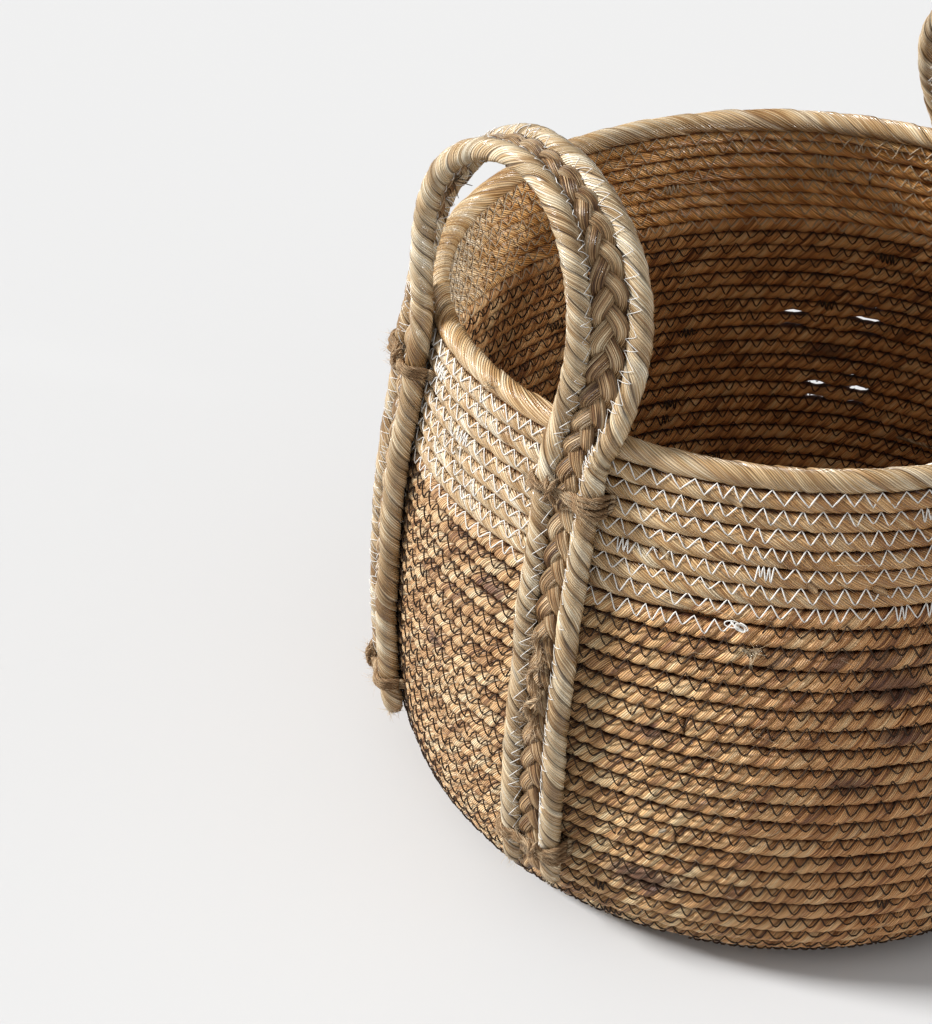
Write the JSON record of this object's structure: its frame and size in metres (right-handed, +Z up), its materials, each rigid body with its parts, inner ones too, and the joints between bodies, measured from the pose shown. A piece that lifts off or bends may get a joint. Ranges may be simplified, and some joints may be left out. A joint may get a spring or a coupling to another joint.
{
  "type": "woven basket",
  "caption": "Coiled storage basket of fibre rope with a pale upper band, a round rim coil and a pair of U-shaped cord and braid handles tied to the wall.",
  "frame": {"origin": "on the floor plane under the middle of the basket, handles included", "axes": "+Z up through the mouth, X from the left handle to the right handle, -Y towards the front"},
  "size_m": [0.4424, 0.4216, 0.4141],
  "materials": {
    "dark_rope": "twisted plant fibre, brown, sewn with dark thread",
    "pale_rope": "husk-wrapped rope, straw, sewn with white thread",
    "wrapped_husk": "silky wrapped husk, pale straw",
    "braided_leaf": "braided dry leaf, tan brown",
    "jute_twine": "fuzzy jute twine, brown"
  },
  "bodies": {
    "root": {"floor_coil": "dark_rope", "dark_wall_coil": "dark_rope", "pale_band_coil": "pale_rope", "rim_coil": "wrapped_husk", "left_handle_inner_cord": "wrapped_husk", "left_handle_outer_cord": "wrapped_husk", "left_handle_braid": "braided_leaf", "right_handle_inner_cord": "wrapped_husk", "right_handle_outer_cord": "wrapped_husk", "right_handle_braid": "braided_leaf", "left_handle_front_leg_upper_tie": "jute_twine", "left_handle_front_leg_lower_tie": "jute_twine", "left_handle_back_leg_upper_tie": "jute_twine", "left_handle_back_leg_lower_tie": "jute_twine", "right_handle_front_leg_upper_tie": "jute_twine", "right_handle_front_leg_lower_tie": "jute_twine", "right_handle_back_leg_upper_tie": "jute_twine", "right_handle_back_leg_lower_tie": "jute_twine", "left_handle_loose_twine": "jute_twine"}
  },
  "joints": []
}
